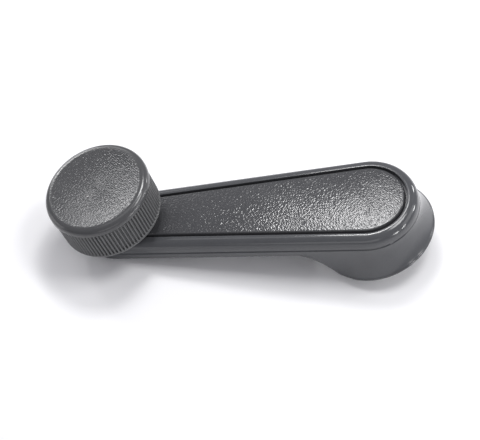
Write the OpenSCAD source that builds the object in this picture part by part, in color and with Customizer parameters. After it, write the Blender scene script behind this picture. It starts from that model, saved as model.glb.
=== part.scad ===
// Window crank handle of a hand-wound car window, in millimetres.
// The origin is on the spindle axis, in the plane of the hub's foot.
// +Z points away from the door, and the arm points towards -X.

/* [Crank] */
// Distance from the spindle axis to the knob axis
throw = 105; // [95:1:120]
// Rise of the rim plane from the spindle axis to the knob axis
arm_rise = 13.3; // [10:0.1:16]
// Height of the rim plane over the hub's foot, on the spindle axis
hub_height = 23.5; // [22:0.1:26]

/* [Arm rim] */
// Radius of the tray's mouth at the hub end
hub_mouth_r = 17.1; // [16:0.1:19]
// Radius of the tray's mouth at the knob end
tip_mouth_r = 9.5; // [9:0.1:12]
// How far the hub end's arc centre lies beyond the spindle axis
hub_shift = 2; // [0:0.1:3]
// Flat land between the tray's mouth and the roll
land_w = 0.3; // [0.1:0.1:1]
// Radius of the rolled rim
roll_r = 4.2; // [3.5:0.1:5]
// Straight side between the roll and the crease
side_h = 1.8; // [1.2:0.1:2.5]
// Depth of the crease
crease_d = 0.4; // [0.2:0.1:0.7]
// Height of the band below the crease
band_h = 3.5; // [2.5:0.1:4.5]
// Depth of the tray below the rim
tray_depth = 2; // [1.6:0.1:2.6]
// Thickness of the tray's floor
floor_t = 2.2; // [1.8:0.1:2.6]
// Thickness of the arm's side walls
wall_t = 2.2; // [1.6:0.1:2.8]
// Thickness of the moulded ribs
rib_t = 1.6; // [1.2:0.1:2.4]
// Number of cross ribs under the arm
rib_count = 5; // [3:1:7]

/* [Hub skirt] */
// Outer radius of the skirt at its foot
foot_r = 25.5; // [24.5:0.1:27]
// Outer radius of the skirt where it goes up into the rim
neck_r = 21; // [20:0.1:21.6]
// Thickness of the skirt
skirt_t = 1.8; // [1.4:0.1:2.2]
// Height of the bead along the foot
bead_h = 1.1; // [0.8:0.1:1.6]
// How far the bead stands out of the skirt
bead_out = 0.5; // [0.2:0.1:0.8]
// How far the foot's edge runs back before it sweeps up to the arm
sweep_foot = 15.5; // [14:0.1:17]
// How far back the sweep reaches the arm's underside
sweep_arm = 29; // [26:0.5:32]

/* [Spindle socket] */
// Outer radius of the metal socket
socket_r = 7.6; // [7.4:0.1:8]
// Height of the metal socket
socket_h = 16; // [14.5:0.1:16.5]
// Radius of the plain lead-in bore
pilot_r = 6; // [5.8:0.1:6.2]
// Depth of the plain lead-in bore
pilot_depth = 4.5; // [3.5:0.1:5]
// Outer radius of the serrations
serration_r = 5.6; // [5.4:0.1:5.7]
// Depth of the serrations
serration_d = 0.6; // [0.4:0.1:0.8]
// Number of serrations
serration_count = 24; // [18:1:36]
// Depth of the bore from the foot
bore_depth = 13.5; // [12:0.1:14]
// Wall of the moulded boss round the socket
boss_wall = 1.9; // [1.6:0.1:2.2]

/* [Retaining clip] */
// Diameter of the clip's wire
wire_d = 1.6; // [1.4:0.1:1.8]
// Distance from the bore's axis to each leg's centreline
leg_y = 5.3; // [5.2:0.1:5.6]
// Height of the clip over the foot
clip_z = 7; // [6:0.1:8]
// How far the legs reach past the spindle axis
leg_past = 3; // [2:0.1:5]
// Play of the wire in its slots, all round
clip_play = 0.15; // [0.1:0.05:0.25]

/* [Inlay panel] */
// Gap between the panel and the tray's mouth
inlay_gap = 0.15; // [0.1:0.05:0.3]
// How far the panel's middle stands above the rim plane
inlay_proud = 0.6; // [0.3:0.1:0.9]
// Width of the panel's rounded border
inlay_border = 1.7; // [1.2:0.1:2.2]
// Radius of the panel's pegs
peg_r = 1.5; // [1.2:0.1:2]
// Length of the pegs below the tray's floor
peg_past = 1; // [0.6:0.1:1.6]

/* [Knob] */
// Height of the knob's underside over the rim plane, on the knob axis
knob_lift = 4.4; // [4.2:0.1:6]
// Height of the knob's fluted barrel
barrel_h = 15.9; // [15:0.1:20]
// Radius over the flutes
barrel_r = 22.5; // [21:0.1:23]
// Depth of the flutes
flute_d = 0.55; // [0.3:0.05:0.8]
// Number of flutes
flute_count = 90; // [60:2:110]
// Height of the smooth rings over and under the flutes
ring_h = 1; // [0.6:0.1:1.5]
// Thickness of the barrel's wall
barrel_t = 2; // [1.6:0.1:2.6]
// Outer radius of the cap
cap_r = 23; // [22.8:0.1:24]
// Radius of the cap's rounded lip
lip_r = 3.2; // [2.6:0.1:3.6]
// Depth of the dish in the cap
dish_d = 1.4; // [0.8:0.1:1.6]
// Width of the slope between the lip and the dish
slope_w = 4; // [3:0.1:6]
// Thickness of the cap
cap_t = 1.8; // [1.4:0.1:2]
// Height of the cap's spigot inside the barrel
spigot_h = 3; // [2:0.1:4]

/* [Knob bearing] */
// Radius of the pin's shank
shank_r = 4; // [3.5:0.1:4.5]
// Running clearance between the shank and the bush
run_gap = 0.06; // [0.04:0.01:0.1]
// Wall of the bush
bush_wall = 1.5; // [1.2:0.1:2]
// Length of the bush
bush_h = 11.5; // [10:0.1:11.8]
// Radius of the bush's flange
bush_flange_r = 7.6; // [7.2:0.1:8]
// Thickness of the bush's flange
bush_flange_t = 1.2; // [1:0.1:1.6]
// Radius of the pin's head
head_r = 6.4; // [6:0.1:7]
// Thickness of the pin's head
head_t = 1.6; // [1.2:0.1:1.8]
// Radius of the pin's tail
tail_r = 3; // [2.5:0.1:3.2]
// Radius of the seat on the arm
seat_r = 6.4; // [6.2:0.1:6.8]
// Length of the tail below the seat
tail_len = 9.6; // [9:0.1:10.5]
// Thickness of the flat washers
washer_t = 0.8; // [0.6:0.1:1]
// Radius of the backing washer
backing_r = 5.4; // [5:0.1:5.8]
// Free height of the spring washer
spring_h = 0.9; // [0.7:0.1:1.1]
// Thickness of the spring washer's steel
spring_t = 0.4; // [0.3:0.1:0.5]

/* [Hidden] */
$fn = 96;

// Small overlap that lets cuts run clear through a face
eps = 0.5;
// Steps in each quarter of a rounded edge
round_steps = 6;
// How far a rib or wall runs into what carries it
lap = 1;
// Gap of a piece that is pressed into its place
press_gap = 0.05;

arm_angle = atan(arm_rise/throw);
arm_len = throw/cos(arm_angle);
rim_w = land_w + roll_r;
crease_z = roll_r + side_h;
rim_h = crease_z + band_h;
floor_z = tray_depth + floor_t;
// The flanks lean in towards the tip by this angle, seen from above the rim
flank_taper = asin((hub_mouth_r - tip_mouth_r)/(arm_len + hub_shift));
flank_len = (arm_len + hub_shift)*cos(flank_taper);
// The flanks stand in from the rounded ends by this hair's breadth, where they run into them
seam_step = 0.02;

tip_z = hub_height + arm_rise;
knob_z = tip_z + knob_lift;
seat_z = knob_z - washer_t;
tail_z = seat_z - tail_len;
spring_z = knob_z + bush_h;
head_z = spring_z + spring_h;
bush_r = shank_r + run_gap + bush_wall;
// The bush's tube stands in a moulded column, which is this thick
column_t = 2;
column_r = bush_r + column_t;
// The thin shadow line between the barrel and the cap's lip
cap_line = 0.35;
cap_z = knob_z + barrel_h + cap_line;
barrel_in_r = barrel_r - flute_d - barrel_t;
spigot_r = barrel_in_r - press_gap;
spigot_t = 1.4;

boss_r = socket_r + boss_wall;
// The loop's inner side clears the boss by at least this much, where the legs leave their slots
loop_clear = 0.2;
slot_in = leg_y - wire_d/2 - clip_play;
slot_out = leg_y + wire_d/2 + clip_play;
loop_x = ceil(10*sqrt(pow(boss_r + loop_clear, 2) - pow(slot_in, 2)) - 5)/10;

// A point of the side view, written as [x, height over the foot], in the arm's own leaning frame
function in_arm(p) = [
    p.x*cos(arm_angle) - (p.y - hub_height)*sin(arm_angle),
    p.x*sin(arm_angle) + (p.y - hub_height)*cos(arm_angle)];

// A quarter of an ellipse from straight out to straight up, round the given centre
function quarter(cx, cy, rx, ry) = [for (i = [0:round_steps])
    [cx + rx*cos(90*i/round_steps), cy + ry*sin(90*i/round_steps)]];

// A cubic curve through its first and last point, pulled towards the two between
function bezier(a, b, c, d, t) =
    a*pow(1 - t, 3) + b*3*t*pow(1 - t, 2) + c*3*t*t*(1 - t) + d*pow(t, 3);

// Everything that leans with the arm is drawn in this frame, with the rim plane at height 0
module arm_frame() {
    translate([0, 0, hub_height]) rotate([0, arm_angle, 0]) children();
}

// Along one flank: x runs towards the tip, and y outwards from the hub end's arc centre
module flank_frame() {
    translate([hub_shift, 0, 0]) rotate([0, 0, 180 - flank_taper]) children();
}

// A solid with the tray's tapered outline, whose edge has the given profile.
// Each point is [distance outside the tray's mouth, height over the rim plane], top to bottom.
// It is a sector at the hub end, a sector at the tip end and two straight flanks that run into them.
module tray_sweep(profile) {
    top = profile[0].y;
    low = profile[len(profile) - 1].y;
    hub_side = concat([[0, low], [0, top]], [for (p = profile) [hub_mouth_r + p.x, p.y]]);
    tip_side = concat([[0, low], [0, top]], [for (p = profile) [tip_mouth_r + p.x, p.y]]);
    flank_side = concat([[0, low], [0, top]], [for (p = profile) [hub_mouth_r + p.x - seam_step, p.y]]);
    translate([hub_shift, 0, 0]) rotate([0, 0, -90 - flank_taper])
        rotate_extrude(angle = 180 + 2*flank_taper) polygon(hub_side);
    translate([-arm_len, 0, 0]) rotate([0, 0, 90 + flank_taper])
        rotate_extrude(angle = 180 - 2*flank_taper) polygon(tip_side);
    for (side = [0, 1]) mirror([0, side, 0]) flank_frame() translate([-eps, 0, 0])
        rotate([90, 0, 90]) linear_extrude(flank_len + 2*eps) polygon(flank_side);
}

// The rolled rim, its crease and the band below, as one closed form
module rim_body() {
    roll = quarter(land_w, -roll_r, roll_r, roll_r);
    tray_sweep(concat(
        [for (i = [round_steps:-1:0]) roll[i]],
        [[rim_w, crease_d - crease_z], [rim_w - crease_d, -crease_z], [rim_w, -crease_z - crease_d],
         [rim_w, -rim_h]]));
}

// Outer radius of the skirt at a height over the foot, a little hollow towards the foot
function skirt_r(z) = let (h = hub_height - crease_z, u = min(z/h, 1))
    foot_r - bead_out - (foot_r - bead_out - neck_r)*(1.15*u - 0.15*u*u);

// One half section of the skirt's outside, with the bead along its foot
skirt_steps = 6;
skirt_top = hub_height - crease_z;
skirt_line = [for (i = [0:skirt_steps])
    let (z = bead_h*1.4 + (skirt_top - bead_h*1.4)*i/skirt_steps) [skirt_r(z), z]];

module skirt_body() {
    rotate_extrude() polygon(concat([[0, 0], [foot_r, 0], [foot_r, bead_h]], skirt_line, [[0, skirt_top]]));
}

// In the flank's own frame, how far along it a point with this x of the arm's frame lies
function flank_x(x) = (hub_shift - (hub_mouth_r + rim_w)*sin(flank_taper) - x)/cos(flank_taper);

// How far out the flank's outer face stands at this x
function flank_y(x) = (hub_mouth_r + rim_w - (hub_shift - x)*sin(flank_taper))/cos(flank_taper);

// The free edge that sweeps from the arm's underside down to the skirt's foot, in the side view,
// drawn this far inside the wall
sweep_steps = 8;
arm_foot_z = hub_height + sweep_arm*tan(arm_angle) - rim_h/cos(arm_angle);
function sweep_point(t) = bezier([-sweep_arm, arm_foot_z], [-sweep_arm*0.76, arm_foot_z*0.85],
    [-sweep_foot - 4, arm_foot_z*0.45], [-sweep_foot, 0], t);
function sweep_line(inset) = [for (i = [0:sweep_steps])
    let (t = i/sweep_steps, run = sweep_point(t + 0.01) - sweep_point(t - 0.01),
        p = in_arm(sweep_point(t) + inset*[-run.y, run.x]/norm(run))) [flank_x(p.x), p.y]];

// The line inside the skirt where the side wall ends
function skirt_join(z) = let (r = skirt_r(z) - skirt_t/2, y = flank_y(-foot_r/2),
    p = in_arm([-sqrt(max(r*r - y*y, 4)), z])) [flank_x(p.x), p.y];

// The side wall that fills the corner between the skirt and the arm on one flank, with its bead
module sweep_wall() {
    edge = sweep_line(0);
    inner = sweep_line(bead_h);
    join = [for (i = [0:4]) skirt_join((skirt_top - 3*lap)*i/4)];
    translate([0, hub_mouth_r + rim_w, 0]) rotate([90, 0, 0]) {
        linear_extrude(wall_t) polygon(concat([[edge[0].x, lap - rim_h]], edge, join,
            [[join[4].x, lap - rim_h]]));
        translate([0, 0, -bead_out]) linear_extrude(bead_out + eps)
            polygon(concat(edge, [for (i = [sweep_steps:-1:0]) inner[i]]));
    }
}

// The space under the arm and inside the skirt, without the ribs
module inner_space() {
    arm_frame() tray_sweep([[rim_w - wall_t, -floor_z], [rim_w - wall_t, -rim_h - eps]]);
    top = hub_height - floor_z/cos(arm_angle) - (hub_shift + hub_mouth_r + rim_w)*tan(arm_angle);
    inside = [for (i = [0:skirt_steps]) let (z = top*i/skirt_steps) [skirt_r(z) - skirt_t, z]];
    rotate_extrude() polygon(concat([[0, -eps], [inside[0].x, -eps]], inside, [[0, top]]));
}

// Clear lengths between the socket's boss and the first rib, and between the last rib and the seat
hub_clear = 24;
tip_clear = 12;
first_rib = boss_r + hub_clear;
last_rib = arm_len - seat_r - tip_clear;
rib_step = (last_rib - first_rib)/(rib_count - 1);

// Ribs under the arm, spokes inside the skirt, and the bosses for the socket and the knob's pin
module ribs_and_bosses() {
    half_w = hub_mouth_r + rim_w;
    arm_frame() {
        for (i = [0:rib_count - 1]) translate([-first_rib - i*rib_step - rib_t/2, -half_w, lap - rim_h])
            cube([rib_t, 2*half_w, rim_h]);
        translate([-arm_len, -rib_t/2, lap - rim_h]) cube([arm_len - boss_r + lap, rib_t, rim_h]);
    }
    for (a = [60, 120, 240, 300]) rotate([0, 0, a]) translate([boss_r - lap, -rib_t/2, bead_h])
        cube([foot_r - boss_r, rib_t, hub_height]);
    cylinder(r = boss_r, h = hub_height);
    translate([-throw, 0, tail_z]) cylinder(r = seat_r, h = tail_len);
}

// The straight slots that the clip's legs lie in, cut through the boss and the socket
module clip_slots() {
    for (side = [-1, 1])
        translate([-boss_r - eps, side*leg_y - (slot_out - slot_in)/2, clip_z - wire_d/2 - clip_play])
            cube([2*(boss_r + eps), slot_out - slot_in, wire_d + 2*clip_play]);
}

// Places of the inlay's four pegs, in the arm's frame, this far in from the tray's mouth
peg_inset = 7;
peg_x1 = first_rib - rib_step/2;
peg_x2 = last_rib - rib_step/2;
function peg_y(x) = hub_mouth_r - peg_inset - (x + hub_shift)*tan(flank_taper);
pegs = [for (x = [peg_x1, peg_x2], side = [-1, 1]) [-x, side*peg_y(x)]];

module arm_body() {
    color([0.40, 0.41, 0.43]) difference() {
        union() {
            difference() {
                union() {
                    arm_frame() {
                        rim_body();
                        for (side = [0, 1]) mirror([0, side, 0]) flank_frame() sweep_wall();
                    }
                    skirt_body();
                }
                difference() {
                    inner_space();
                    ribs_and_bosses();
                }
                arm_frame() tray_sweep([[0, eps], [0, -tray_depth]]);
            }
            translate([-throw, 0, tip_z - floor_z]) cylinder(r = seat_r, h = seat_z - tip_z + floor_z);
        }
        translate([0, 0, -eps]) cylinder(r = socket_r, h = socket_h + eps);
        clip_slots();
        translate([-throw, 0, tail_z - eps]) cylinder(r = tail_r, h = tail_len + 2*eps);
        translate([-throw, 0, tail_z - rim_h]) cylinder(r = backing_r + eps, h = rim_h);
        arm_frame() for (p = pegs) translate([p.x, p.y, -floor_z - eps])
            cylinder(r = peg_r + press_gap, h = floor_z + eps);
        translate([-foot_r - throw, -foot_r*2, -foot_r]) cube([2*throw, 4*foot_r, foot_r]);
    }
}

module inlay_panel() {
    border = quarter(-inlay_gap - inlay_border, -inlay_gap, inlay_border, inlay_proud + inlay_gap);
    color([0.36, 0.37, 0.39]) {
        difference() {
            arm_frame() tray_sweep(concat([for (i = [round_steps:-1:0]) border[i]],
                [[-inlay_gap, -tray_depth]]));
            translate([-throw, 0, tail_z]) cylinder(r = seat_r + inlay_gap, h = tail_len + eps);
        }
        arm_frame() for (p = pegs) translate([p.x, p.y, -floor_z - peg_past])
            cylinder(r = peg_r, h = floor_z + peg_past - eps);
    }
}

// The serrated outline of the socket's bore, as a star of narrow V teeth
module serrations() {
    polygon([for (i = [0:2*serration_count - 1]) let (a = 180*i/serration_count,
        r = serration_r - (i % 2)*serration_d) [r*cos(a), r*sin(a)]]);
}

module hub_insert() {
    color([0.66, 0.66, 0.64]) difference() {
        cylinder(r = socket_r, h = socket_h);
        translate([0, 0, -eps]) cylinder(r = pilot_r, h = pilot_depth + eps);
        linear_extrude(bore_depth) serrations();
        clip_slots();
    }
}

module spindle_clip() {
    color([0.45, 0.46, 0.48]) translate([0, 0, clip_z]) {
        for (side = [-1, 1]) translate([-leg_past, side*leg_y, 0]) {
            rotate([0, 90, 0]) cylinder(d = wire_d, h = leg_past + loop_x);
            sphere(d = wire_d);
        }
        translate([loop_x, 0, 0]) rotate([0, 0, -90]) rotate_extrude(angle = 180)
            translate([leg_y, 0]) circle(d = wire_d);
    }
}

// The fluted outline of the barrel: flat crests between narrow rounded grooves
module flutes() {
    step = 360/flute_count;
    polygon([for (i = [0:flute_count - 1]) for (k = [0:3])
        let (a = step*(i + [0, 0.42, 0.58, 0.84][k]), r = barrel_r - (k < 2 ? 0 : flute_d))
        [r*cos(a), r*sin(a)]]);
}

module knob_barrel() {
    base_t = 2*bush_flange_t;
    color([0.38, 0.39, 0.40]) translate([-throw, 0, knob_z]) difference() {
        union() {
            translate([0, 0, ring_h]) linear_extrude(barrel_h - 2*ring_h) flutes();
            cylinder(r = barrel_r - flute_d/5, h = ring_h);
            cylinder(r = barrel_r - flute_d, h = barrel_h);
        }
        difference() {
            translate([0, 0, base_t]) cylinder(r = barrel_in_r, h = barrel_h);
            cylinder(r = column_r, h = bush_h);
            for (a = [0:60:300]) rotate([0, 0, a]) translate([column_r - eps, -rib_t/2, 0])
                cube([barrel_in_r - column_r + 2*eps, rib_t, barrel_h - spigot_h - 2*lap]);
        }
        translate([0, 0, -eps]) cylinder(r = bush_r, h = barrel_h);
        translate([0, 0, -eps]) cylinder(r = bush_flange_r, h = bush_flange_t + eps);
    }
}

// Top face of the cap: 0 across the lip's crest, falling to the dish by a smooth slope
function dish(r) = let (u = (cap_r - lip_r - r)/slope_w, v = min(max(u, 0), 1))
    -dish_d*v*v*(3 - 2*v);

module knob_cap() {
    crest = cap_r - lip_r;
    // The lip's round starts this high over the cap's underside
    side = 0.3;
    lip = quarter(crest, side, lip_r, lip_r);
    top = lip_r + side;
    slope = [for (i = [1:8]) let (r = crest - slope_w*i/8) [r, top + dish(r)]];
    floor_h = top - dish_d - cap_t;
    // The cap seats on the barrel's rim with this narrow ring, inside the shadow line
    land = 1.2;
    color([0.38, 0.39, 0.40]) translate([-throw, 0, cap_z]) rotate_extrude() polygon(concat(
        [[0, floor_h], [spigot_r - spigot_t, floor_h], [spigot_r - spigot_t, -spigot_h],
         [spigot_r, -spigot_h], [spigot_r, -cap_line], [spigot_r + land, -cap_line],
         [spigot_r + land, 0], [cap_r, 0]],
        lip, slope, [[0, top - dish_d]]));
}

module knob_bush() {
    color([0.88, 0.87, 0.82]) translate([-throw, 0, knob_z]) difference() {
        union() {
            cylinder(r = bush_r, h = bush_h);
            cylinder(r = bush_flange_r, h = bush_flange_t);
        }
        translate([0, 0, -eps]) cylinder(r = shank_r + run_gap, h = bush_h + 2*eps);
    }
}

// The tail is riveted over its washer with this small dome
dome_h = 1.3;
dome_r = tail_r + 1.4;
// Bevel round the pin's head
head_bevel = 0.5;

module knob_pin() {
    color([0.72, 0.72, 0.70]) translate([-throw, 0, 0]) rotate_extrude() polygon(concat(
        [[0, tail_z - washer_t - dome_h]],
        [for (i = [1:round_steps]) let (a = 90*i/round_steps)
            [dome_r*sin(a), tail_z - washer_t - dome_h*cos(a)]],
        [[tail_r, tail_z - washer_t], [tail_r, seat_z], [shank_r, seat_z], [shank_r, head_z],
         [head_r, head_z], [head_r, head_z + head_t - head_bevel], [head_r - head_bevel, head_z + head_t],
         [0, head_z + head_t]]));
}

module thrust_washer() {
    color([0.70, 0.70, 0.68]) translate([-throw, 0, seat_z]) difference() {
        cylinder(r = seat_r + washer_t, h = washer_t);
        translate([0, 0, -eps]) cylinder(r = shank_r + run_gap, h = washer_t + 2*eps);
    }
}

// A dished spring washer that presses the bush down from under the pin's head
module spring_washer() {
    inner = shank_r + run_gap;
    color([0.50, 0.51, 0.53]) translate([-throw, 0, spring_z]) rotate_extrude()
        polygon([[inner, spring_h - spring_t], [head_r, 0], [head_r, spring_t], [inner, spring_h]]);
}

module backing_washer() {
    color([0.70, 0.70, 0.68]) translate([-throw, 0, tail_z - washer_t]) difference() {
        cylinder(r = backing_r, h = washer_t);
        translate([0, 0, -eps]) cylinder(r = tail_r, h = washer_t + 2*eps);
    }
}

arm_body();
inlay_panel();
hub_insert();
spindle_clip();
knob_barrel();
knob_cap();
knob_bush();
knob_pin();
thrust_washer();
spring_washer();
backing_washer();
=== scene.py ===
"""The looks of a moulded window crank handle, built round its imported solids.

Lengths are in metres, in the frame of the solids: the spindle axis is Z, the hub's foot is at
height 0, and the arm points towards -X.
"""

import math
from types import SimpleNamespace

import bpy
import numpy as np
from bpy.props import FloatProperty, FloatVectorProperty, IntProperty, PointerProperty
from bpy.types import Operator, Panel, PropertyGroup
from mathutils import Matrix, Vector


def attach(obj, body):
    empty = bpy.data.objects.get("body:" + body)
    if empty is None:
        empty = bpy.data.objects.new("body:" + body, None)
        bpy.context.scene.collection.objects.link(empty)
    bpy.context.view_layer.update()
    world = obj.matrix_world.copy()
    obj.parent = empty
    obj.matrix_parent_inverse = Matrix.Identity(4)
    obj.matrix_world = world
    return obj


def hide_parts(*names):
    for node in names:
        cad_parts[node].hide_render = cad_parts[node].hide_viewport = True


bl_info = {
    "name": "Window crank handle",
    "version": (1, 0, 0),
    "blender": (4, 5, 0),
    "location": "3D View > Sidebar > Crank",
    "description": "Builds the visible surfaces and finishes of a window crank handle",
    "category": "Object",
}

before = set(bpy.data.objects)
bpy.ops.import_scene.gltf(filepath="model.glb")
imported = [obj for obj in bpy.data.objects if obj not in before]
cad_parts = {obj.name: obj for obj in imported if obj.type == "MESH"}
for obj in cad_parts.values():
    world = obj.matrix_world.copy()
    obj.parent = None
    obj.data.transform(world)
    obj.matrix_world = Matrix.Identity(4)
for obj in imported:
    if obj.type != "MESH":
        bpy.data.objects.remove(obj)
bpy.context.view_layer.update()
MM = 0.001
LENGTH = {"unit": "LENGTH", "precision": 5}


class CrankArmSettings(PropertyGroup):
    """Sizes and colour of the moulded arm and its hub skirt"""

    throw: FloatProperty(
        name="Throw", description="Distance from the spindle to the knob's axis", default=105 * MM, **LENGTH)
    arm_rise: FloatProperty(
        name="Arm rise", description="Rise of the rim plane over the throw", default=13.3 * MM, **LENGTH)
    hub_height: FloatProperty(
        name="Hub height", description="Height of the rim plane at the spindle", default=23.5 * MM, **LENGTH)
    hub_mouth_r: FloatProperty(
        name="Hub mouth radius", description="Radius of the mouth at the hub", default=17.1 * MM, **LENGTH)
    tip_mouth_r: FloatProperty(
        name="Tip mouth radius", description="Radius of the mouth at the knob", default=9.5 * MM, **LENGTH)
    hub_shift: FloatProperty(
        name="Hub shift", description="Hub's arc centre, past the spindle", default=2 * MM, **LENGTH)
    land_w: FloatProperty(
        name="Land width", description="Flat land between the mouth and the roll", default=0.3 * MM, **LENGTH)
    roll_r: FloatProperty(
        name="Roll radius", description="Radius of the rolled rim", default=4.2 * MM, **LENGTH)
    side_h: FloatProperty(
        name="Side height", description="Height of the side over the crease", default=1.8 * MM, **LENGTH)
    crease_d: FloatProperty(
        name="Crease depth", description="Depth of the crease under the rim", default=0.55 * MM, **LENGTH)
    band_h: FloatProperty(
        name="Band height", description="Height of the band below the crease", default=3.5 * MM, **LENGTH)
    tray_depth: FloatProperty(
        name="Tray depth", description="Depth of the tray below the rim plane", default=2 * MM, **LENGTH)
    floor_t: FloatProperty(
        name="Floor thickness", description="Thickness of the tray's floor", default=2.2 * MM, **LENGTH)
    wall_t: FloatProperty(
        name="Wall thickness", description="Thickness of the arm's side walls", default=2.2 * MM, **LENGTH)
    rib_t: FloatProperty(
        name="Rib thickness", description="Thickness of the moulded ribs", default=1.6 * MM, **LENGTH)
    rib_count: IntProperty(
        name="Cross ribs", description="Number of cross ribs under the arm", default=5, min=3)
    foot_r: FloatProperty(
        name="Foot radius", description="Radius over the bead at the foot", default=25.49 * MM, **LENGTH)
    neck_r: FloatProperty(
        name="Neck radius", description="Radius of the skirt under the rim", default=21 * MM, **LENGTH)
    skirt_t: FloatProperty(
        name="Skirt thickness", description="Thickness of the skirt", default=1.8 * MM, **LENGTH)
    bead_h: FloatProperty(
        name="Bead height", description="Height of the bead on the skirt's edge", default=0.7 * MM, **LENGTH)
    bead_out: FloatProperty(
        name="Bead stand-out", description="How far the bead stands out", default=0.2 * MM, **LENGTH)
    sweep_foot: FloatProperty(
        name="Sweep start", description="Where the skirt's edge leaves the foot", default=15.5 * MM, **LENGTH)
    sweep_arm: FloatProperty(
        name="Sweep end", description="Where the edge reaches the arm's underside", default=29 * MM, **LENGTH)
    socket_r: FloatProperty(
        name="Socket radius", description="Outer radius of the metal socket", default=7.6 * MM, **LENGTH)
    boss_r: FloatProperty(
        name="Boss radius", description="Radius of the boss round the socket", default=9.5 * MM, **LENGTH)
    seat_r: FloatProperty(
        name="Seat radius", description="Radius of the knob's seat on the arm", default=6.4 * MM, **LENGTH)
    colour: FloatVectorProperty(
        name="Colour", description="Colour of the smooth moulding",
        subtype="COLOR", min=0, max=1, default=(0.064, 0.066, 0.071))


class CrankInlaySettings(PropertyGroup):
    """Sizes, grain and colour of the panel in the arm's tray"""

    gap: FloatProperty(
        name="Gap", description="Gap between the panel and the tray's mouth", default=0.8 * MM, **LENGTH)
    groove: FloatProperty(
        name="Groove", description="Start of the border, below the rim plane", default=1.6 * MM, **LENGTH)
    proud: FloatProperty(
        name="Proud", description="Rise of the middle over the rim plane", default=0.6 * MM, **LENGTH)
    crown: FloatProperty(
        name="Crown", description="Rise of the middle over the border", default=0.8 * MM, **LENGTH)
    border: FloatProperty(
        name="Border", description="Width of the smooth rounded border", default=0.8 * MM, **LENGTH)
    peg_r: FloatProperty(
        name="Peg radius", description="Radius of the panel's pegs", default=1.5 * MM, **LENGTH)
    pebble: FloatProperty(
        name="Pebble size", description="Size of one pebble of the grain", default=0.74 * MM, **LENGTH)
    grain_h: FloatProperty(
        name="Grain height", description="Height of the leather grain", default=0.14 * MM, **LENGTH)
    colour: FloatVectorProperty(
        name="Colour", description="Colour of the grained panel",
        subtype="COLOR", min=0, max=1, default=(0.058, 0.059, 0.063))


class CrankKnobSettings(PropertyGroup):
    """Sizes, flutes, grain and colours of the turning knob"""

    base_z: FloatProperty(
        name="Underside height", description="Height of the barrel's underside", default=41.2 * MM, **LENGTH)
    barrel_h: FloatProperty(
        name="Barrel height", description="Height of the fluted barrel", default=15.9 * MM, **LENGTH)
    barrel_r: FloatProperty(
        name="Barrel radius", description="Radius over the flutes at the top", default=22.48 * MM, **LENGTH)
    taper: FloatProperty(
        name="Taper", description="How much smaller the radius is at the bottom", default=0.25 * MM, **LENGTH)
    flute_d: FloatProperty(
        name="Flute depth", description="Depth of the flutes", default=1.0 * MM, **LENGTH)
    flute_count: IntProperty(
        name="Flutes", description="Number of flutes round the barrel", default=90, min=12)
    ring_h: FloatProperty(
        name="Ring height", description="Height of the plain ring under the flutes", default=1 * MM, **LENGTH)
    wall_t: FloatProperty(
        name="Barrel wall", description="Thickness of the barrel's wall", default=2 * MM, **LENGTH)
    bush_r: FloatProperty(
        name="Bush radius", description="Outer radius of the bush in the barrel", default=5.56 * MM, **LENGTH)
    bush_flange_r: FloatProperty(
        name="Flange radius", description="Radius of the bush's flange", default=7.6 * MM, **LENGTH)
    cap_z: FloatProperty(
        name="Cap height", description="Height of the cap's lower edge", default=57.45 * MM, **LENGTH)
    cap_r: FloatProperty(
        name="Cap radius", description="Outer radius of the cap", default=22.99 * MM, **LENGTH)
    lip_r: FloatProperty(
        name="Lip radius", description="Radius of the cap's rounded lip", default=3.2 * MM, **LENGTH)
    lip_w: FloatProperty(
        name="Lip width", description="Width of the cap's rounded lip", default=3.4 * MM, **LENGTH)
    dish_d: FloatProperty(
        name="Dish depth", description="Depth of the dish in the cap", default=1.5 * MM, **LENGTH)
    pebble: FloatProperty(
        name="Pebble size", description="Size of one pebble of the cap's grain", default=0.72 * MM, **LENGTH)
    grain_h: FloatProperty(
        name="Grain height", description="Height of the cap's grain", default=0.2 * MM, **LENGTH)
    barrel_colour: FloatVectorProperty(
        name="Barrel colour", description="Colour of the fluted barrel",
        subtype="COLOR", min=0, max=1, default=(0.098, 0.099, 0.101))
    cap_colour: FloatVectorProperty(
        name="Cap colour", description="Colour of the grained cap",
        subtype="COLOR", min=0, max=1, default=(0.070, 0.071, 0.074))


class CrankStageSettings(PropertyGroup):
    """Camera, lamps and floor"""

    azimuth: FloatProperty(
        name="Azimuth", description="Direction that the camera looks from",
        default=math.radians(25.98), subtype="ANGLE")
    elevation: FloatProperty(
        name="Elevation", description="Height of the camera over the horizon",
        default=math.radians(50.773), subtype="ANGLE")
    roll: FloatProperty(
        name="Roll", description="Turn of the camera about its own axis",
        default=math.radians(-29.524), subtype="ANGLE")
    distance: FloatProperty(
        name="Distance", description="Distance from the camera to its aim point", default=1.0, **LENGTH)
    lens: FloatProperty(
        name="Lens", description="Focal length in millimetres", default=176.623)
    lamp_power: FloatProperty(
        name="Lamp power", description="Strength of all the lamps", default=0.95, min=0)
    floor_colour: FloatVectorProperty(
        name="Floor colour", description="Colour of the plain floor",
        subtype="COLOR", min=0, max=1, default=(0.90, 0.90, 0.91))


# ---- Meshes from whole arrays ----


def grid_faces(rows, columns, close_rows, close_columns):
    """Quads between each row and column of a grid and the next; a closed direction joins its ends."""
    r = np.arange(rows if close_rows else rows - 1)[:, None]
    c = np.arange(columns if close_columns else columns - 1)[None, :]
    r2, c2 = (r + 1) % rows, (c + 1) % columns
    corners = (r * columns + c, r * columns + c2, r2 * columns + c2, r2 * columns + c)
    return np.stack(np.broadcast_arrays(*corners), -1).reshape(-1, 4)


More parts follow.
